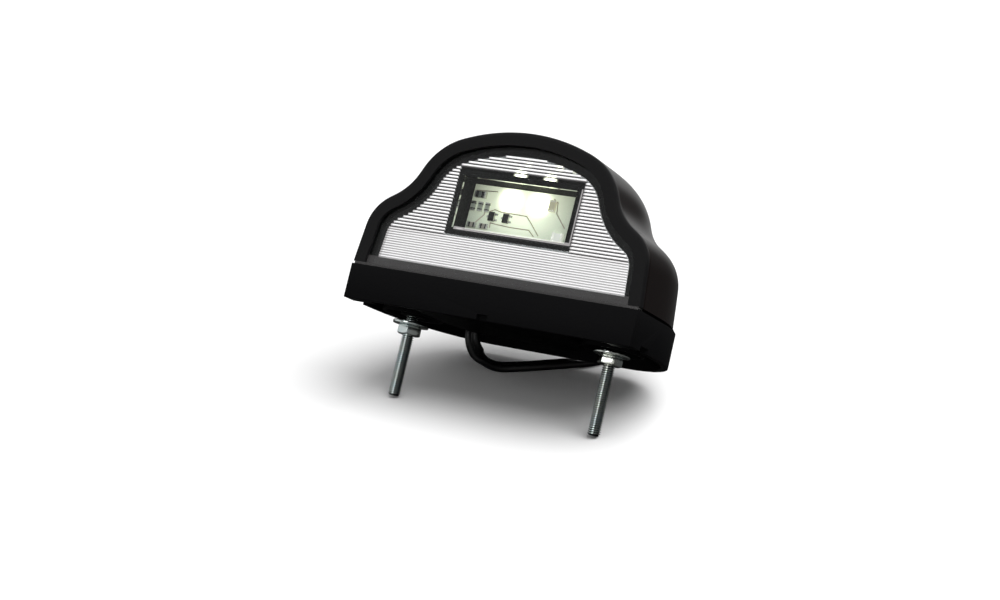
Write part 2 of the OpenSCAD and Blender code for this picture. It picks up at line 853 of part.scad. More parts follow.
core_len = 10;
bare_len = 6;
core_split = 0.3;
module lead_end() {
    on_table(coil_at)
        for (s = [-1, 1])
            translate([coil_hole - run_out - lead_w / 2, run_out_y + s * (core_d + core_split) / 2,
                core_d / 2])
                rotate([0, -90, 0]) {
                    color(black)
                        cylinder(h = core_len, r = core_d / 2);
                    color("#b87333")
                        cylinder(h = core_len + bare_len, r = copper_d / 2);
                }
}

base();
hood();
lens();
seal();
inner_body();
reflector();
circuit_board();
led(-1);  // led_left
led(1);  // led_right
emitter(-1);  // emitter_left
emitter(1);  // emitter_right
resistor_upright(0);  // resistor_1
resistor_upright(1);  // resistor_2
resistor_upright(2);  // resistor_3
resistor_flat(0);  // resistor_4
resistor_flat(1);  // resistor_5
regulator(0);  // regulator_1
regulator(1);  // regulator_2
diode();
capacitor();
fuse();
wire_red();
wire_black();
gland();
lead();
lead_coil();
lead_end();
stud(-1, left_drop);  // stud_left
stud(1, right_drop);  // stud_right
washer(-1, left_drop);  // washer_left
washer(1, right_drop);  // washer_right
nut(-1, left_drop);  // nut_left
nut(1, right_drop);  // nut_right
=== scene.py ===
from math import ceil, cos, pi, radians, sin, tan

import bmesh
import bpy
from mathutils import Matrix, Vector


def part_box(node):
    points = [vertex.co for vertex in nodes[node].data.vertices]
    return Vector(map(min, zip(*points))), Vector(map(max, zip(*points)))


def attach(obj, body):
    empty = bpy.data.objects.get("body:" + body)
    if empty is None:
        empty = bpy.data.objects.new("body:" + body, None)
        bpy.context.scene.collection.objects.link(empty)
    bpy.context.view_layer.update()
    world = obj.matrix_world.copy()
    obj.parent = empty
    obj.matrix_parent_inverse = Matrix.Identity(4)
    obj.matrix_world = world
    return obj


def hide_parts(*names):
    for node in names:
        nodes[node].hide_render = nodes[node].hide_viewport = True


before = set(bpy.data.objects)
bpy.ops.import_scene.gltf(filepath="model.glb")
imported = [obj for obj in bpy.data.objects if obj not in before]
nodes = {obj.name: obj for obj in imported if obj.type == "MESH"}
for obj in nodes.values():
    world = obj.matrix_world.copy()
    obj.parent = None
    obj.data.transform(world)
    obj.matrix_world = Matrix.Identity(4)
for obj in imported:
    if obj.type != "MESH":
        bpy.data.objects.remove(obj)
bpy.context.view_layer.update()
mm = 0.001
weld = 2e-6  # metres, within which corners are merged
onPlane = 1e-7  # metres, within which a corner lies on a cutting plane
crisp, softer = 0.01 * mm, 0.1 * mm  # how wide a painted edge is
print("frame loaded:", len(nodes), "nodes")

# the leaning front face, read from the solids: X across, Y into the lamp, Z up the face
face = {"setBack": 0.7, "lean": 2.0}
baseLow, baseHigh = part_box("base")
faceY = baseLow.y + face["setBack"] * mm
faceFrame = Matrix.Translation((0, faceY, baseHigh.z)) @ Matrix.Rotation(radians(-face["lean"]), 4, "X")

# the table touches the two stud tips and the lead under the base's back edge; the greys are what it
# bounces, and what it shows when mirrored, near the lamp and far from it
table = {
    "tilt": 31.7, "tipRadius": 1.5, "reach": 1500.0, "gap": 0.05,
    "paper": "#fafafa", "bounce": "#707070", "mirrored": "#303030", "far": "#8c8c8c",
    "farX": (80, -30), "farY": (120, 190),
}
tableTilt = radians(table["tilt"])
tableUp = Vector((0, -sin(tableTilt), cos(tableTilt)))
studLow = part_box("stud_left")[0].z


def tablePoint(x, y):
    return Vector((x, y, studLow + (y - table["tipRadius"] * mm) * tan(tableTilt)))


def tableFrame(x, y):
    return Matrix.Translation(tablePoint(x, y)) @ Matrix.Rotation(tableTilt, 4, "X")


def link(name, data):
    thing = bpy.data.objects.new(name, data)
    bpy.context.scene.collection.objects.link(thing)
    return thing


# smooth faces with hard edges where they meet at more than an angle
def meshFrom(bm, name, hardAngle=40):
    for f in bm.faces:
        f.smooth = True
    for e in bm.edges:
        e.smooth = not (e.is_manifold and e.calc_face_angle(0) > radians(hardAngle))
    mesh = bpy.data.meshes.new(name)
    bm.to_mesh(mesh)
    bm.free()
    copied = mesh.attributes.get("custom_normal")
    if copied:
        mesh.attributes.remove(copied)
    return mesh


def makePiece(name, mesh, materials, replaced=()):
    piece = link(name, mesh)
    for material in materials:
        piece.data.materials.append(material)
    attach(piece, "root")
    if replaced:
        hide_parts(*replaced)
    return piece


# camera, at the photograph's view
camera = {"place": (261.96, -512.62, -61.68), "turn": (97.283, -13.177, 25.946), "lens": 64.8,
          "sensor": 36, "near": 0.01}


def makeCamera():
    data = bpy.data.cameras.new("photoCamera")
    data.lens = camera["lens"]
    data.sensor_width = camera["sensor"]
    data.clip_start = camera["near"]
    eye = link("photoCamera", data)
    eye.location = Vector(camera["place"]) * mm
    eye.rotation_euler = [radians(a) for a in camera["turn"]]
    bpy.context.scene.camera = eye


makeCamera()


# materials

# sRGB hex to the linear colour that the shaders take
def hexColour(text):
    parts = [int(text[i:i + 2], 16) / 255 for i in (1, 3, 5)]
    return tuple(c / 12.92 if c <= 0.04045 else ((c + 0.055) / 1.055) ** 2.4 for c in parts) + (1,)


# one node with its settings, its socket values and its links
def addNode(tree, kind, inputs=None, **settings):
    made = tree.nodes.new(kind)
    for key, value in settings.items():
        setattr(made, key, value)
    for socket, value in (inputs or {}).items():
        if isinstance(value, bpy.types.NodeSocket):
            tree.links.new(value, made.inputs[socket])
        else:
            made.inputs[socket].default_value = value
    return made


def newMaterial(name, colour, **sockets):
    material = bpy.data.materials.new(name)
    material.use_nodes = True
    tree = material.node_tree
    shader = tree.nodes["Principled BSDF"]
    shader.inputs["Base Color"].default_value = hexColour(colour)
    for key, value in sockets.items():
        shader.inputs[key.replace("_", " ")].default_value = value
    return material, tree, shader


def plain(name, colour, **sockets):
    return newMaterial(name, colour, **sockets)[0]


# a mask that is 1 where every value is past its edge; an edge is a value, where it counts 0 and where 1
def pastEdges(tree, *edges):
    mask = 1.0
    for value, none, full in edges:
        step = addNode(tree, "ShaderNodeMapRange", {"Value": value, "From Min": none, "From Max": full})
        mask = addNode(tree, "ShaderNodeMath",
                       {0: step.outputs["Result"], 1: mask}, operation="MULTIPLY").outputs[0]
    return mask


# the edges of a rectangle for such a mask, between two values along each of two axes
def sidesOf(across, x0, x1, along, z0, z1):
    return ((across, x0, x0 + crisp), (across, x1 + crisp, x1),
            (along, z0, z0 + crisp), (along, z1 + crisp, z1))


# the sum of some masks, each times its level
def addUp(tree, parts):
    total = 0.0
    for mask, level in parts:
        total = addNode(tree, "ShaderNodeMath",
                        {0: mask, 1: level, 2: total}, operation="MULTIPLY_ADD").outputs[0]
    return total


# a mask that fades softly from 1 at a spot to 0 at a radius
def softSpot(tree, place, centre, radiusMm):
    away = addNode(tree, "ShaderNodeVectorMath", {0: place, 1: centre}, operation="DISTANCE")
    return addNode(tree, "ShaderNodeMapRange", {
        "Value": away.outputs["Value"], "From Min": 0.0, "From Max": radiusMm * mm,
        "To Min": 1.0, "To Max": 0.0}, interpolation_type="SMOOTHERSTEP").outputs["Result"]


# a fine grain of a real size in millimetres, as bump and, where given, as a small change of roughness
def addGrain(tree, shader, sizeMm, depthMm, rough=None, strength=1.0):
    place = addNode(tree, "ShaderNodeTexCoord").outputs["Object"]
    noise = addNode(tree, "ShaderNodeTexNoise",
                    {"Vector": place, "Scale": 1 / (sizeMm * mm), "Detail": 3, "Roughness": 0.6})
    bump = addNode(tree, "ShaderNodeBump",
                   {"Height": noise.outputs["Fac"], "Strength": strength, "Distance": depthMm * mm})
    tree.links.new(bump.outputs["Normal"], shader.inputs["Normal"])
    if rough:
        spread = addNode(tree, "ShaderNodeMapRange",
                         {"Value": noise.outputs["Fac"], "To Min": rough[0], "To Max": rough[1]})
        tree.links.new(spread.outputs["Result"], shader.inputs["Roughness"])


# the grain of a spark-eroded mould in millimetres, drawn coarser than the real one so that it shows
sparkGrain = {"size": 0.35, "depth": 0.012}


# moulded ABS with a spark-eroded grain: the sheen is broad and dull, with no clear reflection
def sparkGrainBlack(name, colour, rough, depthMm=sparkGrain["depth"], specular=0.04):
    material, tree, shader = newMaterial(name, colour, Specular_IOR_Level=specular)
    addGrain(tree, shader, sparkGrain["size"], depthMm, rough)
    return material


# the front band of the hood and its flanks, with the place behind the front where one turns to the other
hoodLook = {
    "band": "#0c0c0d", "flank": "#0a0403", "bandRough": 0.6, "flankRough": 0.14,
    "bandTo": 1.5, "flankFrom": 1.9, "flankGrain": 0.03, "specular": 0.16,
}


# polished ABS behind a grained front band: the flanks mirror the studio softly, slightly brown
def polishedHood():
    look = hoodLook
    material, tree, shader = newMaterial("polishedAbs", look["flank"], Specular_IOR_Level=look["specular"])
    place = addNode(tree, "ShaderNodeTexCoord").outputs["Object"]
    split = addNode(tree, "ShaderNodeSeparateXYZ", {"Vector": place}).outputs
    lean = tan(radians(face["lean"]))
    behind = addNode(tree, "ShaderNodeMath",
                     {0: split["Z"], 1: -lean, 2: split["Y"]}, operation="MULTIPLY_ADD").outputs[0]
    front = faceY - baseHigh.z * lean
    gloss = pastEdges(tree, (behind, front + look["bandTo"] * mm, front + look["flankFrom"] * mm))
    rough = addNode(tree, "ShaderNodeMapRange",
                    {"Value": gloss, "To Min": look["bandRough"], "To Max": look["flankRough"]})
    tree.links.new(rough.outputs["Result"], shader.inputs["Roughness"])
    tint = addNode(tree, "ShaderNodeMix", {
        "Factor": gloss, "A": hexColour(look["band"]), "B": hexColour(look["flank"])}, data_type="RGBA")
    tree.links.new(tint.outputs["Result"], shader.inputs["Base Color"])
    grain = addNode(tree, "ShaderNodeMapRange", {"Value": gloss, "To Min": 1.0, "To Max": look["flankGrain"]})
    addGrain(tree, shader, sparkGrain["size"], sparkGrain["depth"], strength=grain.outputs["Result"])
    return material


# what the lens shows besides its refraction, which is painted light and painted shade. The first two rows are
# shares of the outward normal: into the lamp or out of it, and down or up for the ribs' flanks. The others are
# levels of painted glow and painted shade, and heights and the window in millimetres
lensLook = {
    "facesIn": (0.5, 0.51), "facesOut": (-0.9, -0.91), "lower": (-0.3, -0.6), "upper": (0.25, 0.3),
    "fineFrom": (-0.3, -0.31), "fineTo": (-0.56, -0.55),
    "footTop": 1.0, "footFront": 3.5, "stripTop": 3.7, "paintedStripGlow": 0.04,
    "paintedRibShade": 0.9, "paintedRibHighlight": 0.6, "paintedFineRibGlow": 0.5,
    "window": (2.0, 25.6, 41.6, 18.4), "paneBottom": 0.9, "paneRight": 0.5, "paintedPaneGlow": 0.35,
}


# clear acrylic: bends the view as glass does, and lets light through to what lies behind it; the ribs'
# white and black lines are painted: a painted highlight on their upper flanks stands for the sheet they
# catch, and painted shade, a black ink, on their lower ones stands for the dark they catch
def clearAcrylic():
    look = lensLook
    material, tree, shader = newMaterial(
        "clearAcrylic", "#f6f9f9", Transmission_Weight=1.0, Roughness=0.02, IOR=1.49)
    path = addNode(tree, "ShaderNodeLightPath").outputs
    passed = addNode(tree, "ShaderNodeMath",
                     {0: path["Is Shadow Ray"], 1: path["Is Diffuse Ray"]}, operation="MAXIMUM")
    through = addNode(tree, "ShaderNodeBsdfTransparent", {"Color": hexColour("#f4f8f8")})
    clear = addNode(tree, "ShaderNodeMixShader", {
        0: passed.outputs[0], 1: shader.outputs["BSDF"], 2: through.outputs["BSDF"]})

    # the outward normal, from the side that the ray meets
    surface = addNode(tree, "ShaderNodeNewGeometry").outputs
    side = addNode(tree, "ShaderNodeMapRange", {"Value": surface["Backfacing"], "To Min": 1.0, "To Max": -1.0})
    outward = addNode(tree, "ShaderNodeVectorMath",
                      {0: surface["True Normal"], "Scale": side.outputs["Result"]}, operation="SCALE")
    normal = addNode(tree, "ShaderNodeSeparateXYZ", {"Vector": outward.outputs["Vector"]}).outputs
    facesIn, facesOut = (normal["Y"], *look["facesIn"]), (normal["Y"], *look["facesOut"])
    lower = pastEdges(tree, (normal["Z"], *look["lower"]), facesIn)
    upper = pastEdges(tree, (normal["Z"], *look["upper"]), facesIn)
    # painted highlight on the flanks of the fine ribs
    fine = pastEdges(tree, (normal["Z"], *look["fineFrom"]), (normal["Z"], *look["fineTo"]), facesIn)

    # painted shade on the foot under the hood, a painted glow on the clear strip over the base, and painted
    # light along the window pane's bottom and right edges
    location = addNode(tree, "ShaderNodeTexCoord").outputs["Object"]
    place = addNode(tree, "ShaderNodeSeparateXYZ", {"Vector": location}).outputs
    footTop, stripTop = (baseHigh.z + look[key] * mm for key in ("footTop", "stripTop"))
    footFront = faceY + look["footFront"] * mm
    # painted shade over the foot, and a painted glow over the strip
    paintedShadeFoot = pastEdges(tree, (place["Z"], footTop + crisp, footTop), (place["Y"], footFront, footFront + crisp))
    strip = pastEdges(tree, facesOut, (place["Z"], stripTop + softer, stripTop))
    x, z, width, height = look["window"]
    left, right = (x - width / 2) * mm, (x + width / 2) * mm
    bottom, top = baseHigh.z + (z - height / 2) * mm, baseHigh.z + (z + height / 2) * mm
    inWindow = pastEdges(tree, facesOut, *sidesOf(place["X"], left, right, place["Z"], bottom, top))
    paneBottom, paneRight = bottom + look["paneBottom"] * mm, right - look["paneRight"] * mm
    rim = addNode(tree, "ShaderNodeMath", {
        0: pastEdges(tree, (place["Z"], paneBottom + softer, paneBottom)),
        1: pastEdges(tree, (place["X"], paneRight, paneRight + softer))}, operation="MAXIMUM").outputs[0]
    paintedPaneLight = addNode(tree, "ShaderNodeMath", {0: inWindow, 1: rim}, operation="MULTIPLY").outputs[0]

    # painted light: a glow on the ribs' upper flanks, on the fine ribs, on the clear strip and along the
    # pane's edges
    shader.inputs["Emission Color"].default_value = hexColour("#fffafb")
    glow = addUp(tree, [(upper, look["paintedRibHighlight"]), (fine, look["paintedFineRibGlow"]), (strip, look["paintedStripGlow"]),
                        (paintedPaneLight, look["paintedPaneGlow"])])
    tree.links.new(glow, shader.inputs["Emission Strength"])
    # painted shade: black ink over the ribs' lower flanks and over the foot
    paintedShadeInk = addNode(tree, "ShaderNodeBsdfDiffuse", {"Color": hexColour("#0a0a0a")})
    paintedShadeLevel = addNode(tree, "ShaderNodeMath",
                   {0: addUp(tree, [(lower, look["paintedRibShade"])]), 1: paintedShadeFoot}, operation="MAXIMUM")
    withPaintedShade = addNode(tree, "ShaderNodeMixShader", {
        0: paintedShadeLevel.outputs[0], 1: clear.outputs["Shader"], 2: paintedShadeInk.outputs["BSDF"]})
    tree.links.new(withPaintedShade.outputs["Shader"], tree.nodes["Material Output"].inputs["Surface"])
    return material


# in millimetres: the sheet's depth, the black step over the window box, and spots of painted light with
# their place across and up, their radius and their level
sheetLook = {
    "metal": "#c8c9c9", "black": "#101010", "light": "#fdffe2",
    "depth": 4.2,
    "step": (-22.5, 22.5, 36.4, 37.9),
    "paintedLightSpots": [(-0.8, 36.9, 3.0, 8.0), (9.8, 36.8, 3.0, 8.0), (-0.8, 38.6, 1.6, 1.2), (1.1, 40.8, 2.0, 1.2),
              (12.1, 40.9, 2.0, 1.5), (17.5, 41.0, 1.6, 1.0)],
}


# vacuum-metallised sheet: bright satin metal, with painted glints of the LEDs' light in spots above the window
def metallisedSheet():
    look = sheetLook
    material, tree, shader = newMaterial("metallisedSheet", look["metal"], Metallic=1.0)
    addGrain(tree, shader, sizeMm=1.2, depthMm=0.02, rough=(0.16, 0.3))
    place = addNode(tree, "ShaderNodeTexCoord").outputs["Object"]
    paintedLightSpots = [(softSpot(tree, place, faceFrame @ (Vector((x, look["depth"], z)) * mm), radius), level)
             for x, z, radius, level in look["paintedLightSpots"]]
    x0, x1, z0, z1 = (size * mm for size in look["step"])
    split = addNode(tree, "ShaderNodeSeparateXYZ", {"Vector": place}).outputs
    step = pastEdges(tree, *sidesOf(split["X"], x0, x1, split["Z"], baseHigh.z + z0, baseHigh.z + z1))
    tint = addNode(tree, "ShaderNodeMix", {
        "Factor": step, "A": hexColour(look["metal"]), "B": hexColour(look["black"])}, data_type="RGBA")
    tree.links.new(tint.outputs["Result"], shader.inputs["Base Color"])
    shader.inputs["Emission Color"].default_value = hexColour(look["light"])
    tree.links.new(addUp(tree, paintedLightSpots), shader.inputs["Emission Strength"])
    return material


# how far in millimetres the LEDs' painted light spreads over the board, and how strongly
paintedBoardLight = {"wash": 0.56, "washReach": 26.0, "glow": 2.0, "glowReach": 6.4, "light": "#f6fcdc"}


# pale solder resist over glass epoxy: satin, slightly green, with a painted glow of the LEDs' light around
# them
def solderResist():
    material, tree, shader = newMaterial("solderResist", "#d5dccd", Roughness=0.35)
    place = addNode(tree, "ShaderNodeTexCoord").outputs["Object"]
    paintedLightSpots = []
    for node in ("led_left", "led_right"):
        middle = sum(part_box(node), Vector()) / 2
        paintedLightSpots.append((softSpot(tree, place, middle, paintedBoardLight["washReach"]), paintedBoardLight["wash"]))
        paintedLightSpots.append((softSpot(tree, place, middle, paintedBoardLight["glowReach"]), paintedBoardLight["glow"]))
    shader.inputs["Emission Color"].default_value = hexColour(paintedBoardLight["light"])
    tree.links.new(addUp(tree, paintedLightSpots), shader.inputs["Emission Strength"])
    addGrain(tree, shader, sizeMm=0.5, depthMm=0.01)
    return material


# the two tints of the plating, the size of their clouds, and the painted shade of the thread's roots, between
# two radii
zincLook = {"blue": "#cfe4ee", "straw": "#e6e2d0", "cloud": 6, "root": "#2c3438", "paintedRootShadeFrom": 1.62,
            "paintedRootShadeTo": 1.72}


# zinc plating with a thin clear chromate: steely, blue in places and straw yellow in others; on a
# thread the roots get painted shade, which draws its turns; its grain is coarser than the real one, to show
def zincPlate(name, threaded=False):
    look = zincLook
    material, tree, shader = newMaterial(name, look["blue"], Metallic=1.0)
    addGrain(tree, shader, sizeMm=0.5, depthMm=0.003, rough=(0.12, 0.26))
    place = addNode(tree, "ShaderNodeTexCoord").outputs["Object"]
    cloud = addNode(tree, "ShaderNodeTexNoise",
                    {"Vector": place, "Scale": 1 / (look["cloud"] * mm), "Detail": 2})
    tint = addNode(tree, "ShaderNodeMix", {
        "Factor": cloud.outputs["Fac"], "A": hexColour(look["blue"]), "B": hexColour(look["straw"])},
        data_type="RGBA").outputs["Result"]
    if threaded:
        middle = sum(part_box("stud_right"), Vector()) / 2
        split = addNode(tree, "ShaderNodeSeparateXYZ", {"Vector": place}).outputs
        side = addNode(tree, "ShaderNodeMath", {0: split["X"]}, operation="ABSOLUTE").outputs[0]
        flat = addNode(tree, "ShaderNodeCombineXYZ", {"X": side, "Y": split["Y"]}).outputs[0]
        radius = addNode(tree, "ShaderNodeVectorMath",
                         {0: flat, 1: (middle.x, middle.y, 0)}, operation="DISTANCE").outputs["Value"]
        # painted shade in the thread's roots, chosen by radius
        tint = addNode(tree, "ShaderNodeMix", {
            "Factor": pastEdges(tree, (radius, look["paintedRootShadeFrom"] * mm, look["paintedRootShadeTo"] * mm)),
            "A": hexColour(look["root"]), "B": tint}, data_type="RGBA").outputs["Result"]
    tree.links.new(tint, shader.inputs["Base Color"])
    return material


# soft PVC: a faint even sheen along the cord
def pvc(name, colour):
    material, tree, shader = newMaterial(name, colour)
    addGrain(tree, shader, sizeMm=0.8, depthMm=0.01, rough=(0.3, 0.42))
    return material


baseAbs = sparkGrainBlack("grainedAbs", "#0c0c0d", rough=(0.42, 0.62))
# the frame's finer mould leaves it matte and nearly smooth
frameAbs = sparkGrainBlack("smoothFrameAbs", "#101010", rough=(0.6, 0.7), depthMm=0.002, specular=0.08)
hoodAbs = polishedHood()
acrylic = clearAcrylic()
sheetMetal = metallisedSheet()
resist = solderResist()
zinc = zincPlate("zincPlate")
zincThread = zincPlate("zincThread", True)
leadPvc = pvc("blackPvc", "#121213")
redPvc = pvc("redPvc", "#a3161a")
glandRubber = sparkGrainBlack("mouldedRubber", "#161616", rough=(0.6, 0.75))  # moulded, matte and soft
copper = plain("bareCopper", "#c07a4c", Metallic=1.0, Roughness=0.35)  # drawn wire: a warm, bright metal
print("materials made")


# the flat twin lead: out of the gland, down, along the table and into its coil behind the lamp
lead = {
    "coreWidth": 2.6,
    "width": 5.2,
    "webAngle": 150,  # how far round a core the profile runs before the web
    "profileStep": 25,
    "hang": 14.0,
    "drop": 2.1,
    "route": [
        (-22.4, 17.3, -1.3), (-21.7, 18, -3.75), (-20.7, 20, -5.95), (-19.4, 23.2, -7.7),
        (-17.6, 26.3, -8.55), (-15.2, 28.7, -8.47), (-12.5, 30.3, -7.49), (-9.4, 31.8, -6.56),
        (-6.5, 33.4, -5.57), (-3.7, 35.1, -4.52), (-0.9, 36.8, -3.47), (1.8, 38.4, -2.48),
        (4.5, 40.1, -1.43), (7.3, 41.7, -0.45), (10, 43.6, 0.73), (12.3, 46, 2.21),
        (13.6, 49.2, 4.19), (14, 52.6, 6.29), (14, 56, 8.39)],
    "between": 4,
    "rounding": 14,
    "turns": 2,
    "turnPoints": 32,
    "coilRadius": 29.4,
    "runIn": 25.0,
    "runInPoints": 4,
    "runOutBend": 10.8,
    "bendPoints": 8,
    "coreLength": 10.0,
    "bareLength": 6.0,
    "coreSplit": 0.3,
}
# a stripped end in shares of its core's radius, with strands that end a little apart
strands = {"rim": 0.12, "radius": 0.16, "taper": 0.9, "count": 7, "shortest": 0.94, "stagger": 0.02}


# more points on a smooth curve through the given ones
def throughPoints(points, steps):
    out = []
    for i in range(len(points) - 1):
        a, b = points[max(i - 1, 0)], points[i]
        c, d = points[i + 1], points[min(i + 2, len(points) - 1)]
        for s in range(steps):
            t = s / steps
            out.append(0.5 * ((2 * b) + (c - a) * t + (2 * a - 5 * b + 4 * c - d) * t ** 2
                              + (3 * b - a - 3 * c + d) * t ** 3))
    return out + [points[-1]]


# rounds the small corners of a path, and keeps its first and last points
def relaxed(path, rounds):
    for i in range(rounds):
        path = [path[0]] + [(a + b * 2 + c) / 4 for a, b, c in zip(path, path[1:], path[2:])] + [path[-1]]
    return path


# two round cores side by side, joined by a web
def twinProfile():
    r, web = lead["coreWidth"] / 2 * mm, lead["webAngle"]
    turns = [radians(a) for a in range(-web, web + 1, lead["profileStep"])]
    right = [(r + r * cos(a), r * sin(a)) for a in turns]
    return right + [(-x, -y) for x, y in right]


def sweepProfile(path, ups, profile):
    bm = bmesh.new()
    rings = []
    for i, point in enumerate(path):
        ahead = (path[min(i + 1, len(path) - 1)] - path[max(i - 1, 0)]).normalized()
        across = ups[i].cross(ahead).normalized()
        out = ahead.cross(across)
        rings.append([bm.verts.new(point + across * x + out * y) for x, y in profile])
    count = len(profile)
    for a, b in zip(rings, rings[1:]):
        for k in range(count):
            bm.faces.new((a[k], a[(k + 1) % count], b[(k + 1) % count], b[k]))
    bm.faces.new(rings[0])
    bm.faces.new(rings[-1])
    bmesh.ops.recalc_face_normals(bm, faces=bm.faces)
    return bm


# the coil's middle, on the table behind the end of the route
def coilPlace():
    x, y, z = lead["route"][-1]
    y += lead["runIn"] * cos(tableTilt) + lead["coreWidth"] / 2 * sin(tableTilt)
    return tableFrame((x - lead["coilRadius"]) * mm, y * mm)


# the coil seen from above: a short run in, the turns, and a bend out towards the middle
def coilCurve():
    radius, points = lead["coilRadius"], lead["runInPoints"]
    flat = [(radius, -lead["runIn"] * (1 - s / points)) for s in range(1, points)]
    for i in range(lead["turns"] * lead["turnPoints"] + 1):
        a = 2 * pi * i / lead["turnPoints"]
        r = radius - lead["width"] * i / lead["turnPoints"]
        flat.append((r * cos(a), r * sin(a)))
    bend, points = lead["runOutBend"], lead["bendPoints"]
    middle = radius - lead["width"] * lead["turns"] - bend
    for i in range(1, points + 1):
        a = pi / 2 * i / points
        flat.append((middle + bend * cos(a), bend * sin(a)))
    return flat


def makeLead():
    low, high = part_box("gland")
    start = Vector(((low.x + high.x) / 2, (low.y + high.y) / 2, low.z))
    given = [start, start - Vector((0, 0, lead["drop"] * mm))] + [Vector(p) * mm for p in lead["route"]]
    path = relaxed(throughPoints(given, lead["between"]), lead["rounding"])
    lie = lead["coreWidth"] / 2 * mm / cos(tableTilt)
    ups = []
    for p in path:  # the flat side turns from facing the front, where it hangs, to facing the table
        hang = min(max((p.z - tablePoint(p.x, p.y).z - lie) / (lead["hang"] * mm), 0), 1)
        ups.append((tableUp * (1 - hang) - Vector((0, 1, 0)) * hang).normalized())
    at, flat = coilPlace(), coilCurve()
    path += [at @ (Vector((x, y, lead["coreWidth"] / 2)) * mm) for x, y in flat]
    ups += [tableUp] * len(flat)
    bm = sweepProfile(path, ups, twinProfile())
    mesh = meshFrom(bm, "flatTwinLead")
    piece = makePiece("flatTwinLead", mesh, [leadPvc], ["lead", "lead_coil"])
    ends = makeLeadEnds(at, *flat[-1])


# one core's end: its insulation, and strands of copper that stand out of it
def coreEnd(bm, at, length, bare, radius):
    along = at @ Matrix.Rotation(radians(-90), 4, "Y")
    made = bmesh.ops.create_cone(bm, cap_ends=True, segments=20, radius1=radius, radius2=radius,
                                 depth=length, matrix=along @ Matrix.Translation((0, 0, length / 2)))
    rims = [e for e in {e for v in made["verts"] for e in v.link_edges} if e.calc_face_angle(0) > radians(60)]
    bmesh.ops.bevel(bm, geom=rims, offset=radius * strands["rim"], affect="EDGES", segments=2, profile=0.5,
                    material=-1)
    strand = radius * strands["radius"]
    for i in range(strands["count"]):
        a = i * pi / 3
        off = Vector((cos(a), sin(a), 0)) * strand * 2 if i else Vector((0, 0, 0))
        long = bare * (strands["shortest"] + strands["stagger"] * (i % 4))
        place = along @ Matrix.Translation(off + Vector((0, 0, length + long / 2)))
        wire = bmesh.ops.create_cone(bm, cap_ends=True, segments=8, radius1=strand,
                                     radius2=strand * strands["taper"], depth=long, matrix=place)
        for f in {f for v in wire["verts"] for f in v.link_faces}:
            f.material_index = 1


def makeLeadEnds(at, x, y):
    bm = bmesh.new()
    core = lead["coreWidth"]
    for side in (-1, 1):
        place = Vector((x, y + side * (core + lead["coreSplit"]) / 2, core / 2)) * mm
        coreEnd(bm, at @ Matrix.Translation(place), lead["coreLength"] * mm, lead["bareLength"] * mm,
                core / 2 * mm)
    return makePiece("strippedEnds", meshFrom(bm, "strippedEnds"), [leadPvc, copper], ["lead_end"])


makeLead()
print("lead laid")


# floor: white paper, seen white by the camera, dark in what the lamp mirrors near by, as under its shadow,
# and pale far behind it on the left, which draws the highlights on the hood's right valley and crest;
# from below it shows nothing, so the lamp can also be looked at through the tilted table
def whitePaper():
    material, tree, shader = newMaterial("whitePaper", table["paper"], Roughness=0.9)
    path = addNode(tree, "ShaderNodeLightPath").outputs
    seen = addNode(tree, "ShaderNodeMath",
                   {0: path["Is Camera Ray"], 1: path["Is Transmission Ray"]}, operation="MAXIMUM")
    location = addNode(tree, "ShaderNodeTexCoord").outputs["Object"]
    place = addNode(tree, "ShaderNodeSeparateXYZ", {"Vector": location}).outputs
    (x0, x1), (y0, y1) = table["farX"], table["farY"]
    far = pastEdges(tree, (place["X"], x0 * mm, x1 * mm), (place["Y"], y0 * mm, y1 * mm))
    mirrored = addNode(tree, "ShaderNodeMix", {
        "Factor": far, "A": hexColour(table["mirrored"]), "B": hexColour(table["far"])}, data_type="RGBA")
    unseen = addNode(tree, "ShaderNodeMix", {
        "Factor": path["Is Glossy Ray"], "A": hexColour(table["bounce"]),
        "B": mirrored.outputs["Result"]}, data_type="RGBA")
    tint = addNode(tree, "ShaderNodeMix", {
        "Factor": seen.outputs[0], "A": unseen.outputs["Result"], "B": hexColour(table["paper"])},
        data_type="RGBA")
    tree.links.new(tint.outputs["Result"], shader.inputs["Base Color"])
    under = addNode(tree, "ShaderNodeMath", {
        0: addNode(tree, "ShaderNodeNewGeometry").outputs["Backfacing"], 1: path["Is Camera Ray"]},
        operation="MULTIPLY")
    clear = addNode(tree, "ShaderNodeBsdfTransparent")
    mixed = addNode(tree, "ShaderNodeMixShader", {
        0: under.outputs[0], 1: shader.outputs["BSDF"], 2: clear.outputs["BSDF"]})
    tree.links.new(mixed.outputs["Shader"], tree.nodes["Material Output"].inputs["Surface"])
    return material


def makeTable():
    bm = bmesh.new()
    bmesh.ops.create_grid(bm, x_segments=1, y_segments=1, size=table["reach"] * mm,
                          matrix=tableFrame(0, 0) @ Matrix.Translation((0, 0, -table["gap"] * mm)))
    floor = link("whiteTable", meshFrom(bm, "whiteTable"))
    floor.data.materials.append(whitePaper())


makeTable()


# lights and surroundings: an even dome for the shadow, and for gloss a dark room with a bright sky, a grey
# left and front, and a narrow bright strip that draws the line down each stud
studio = {
    "dome": 0.47,
    "room": 0.05,
    "sides": {
        "left": {"toward": (-1, 0, 0), "from": 0.45, "to": 0.75, "level": 0.6},
        "front": {"toward": (0.2, -0.98, 0), "from": 0.2, "to": 0.9, "level": 0.2},
        "strip": {"toward": (-0.14, -0.985, 0.1), "from": 0.96, "to": 0.985, "level": 3.4},
        "sky": {"toward": (0, 0, 1), "from": 0.3, "to": 0.8, "level": 1.3},
    },
    "key": {"azimuth": 12, "elevation": 62, "width": 60, "strength": 3.1},
}


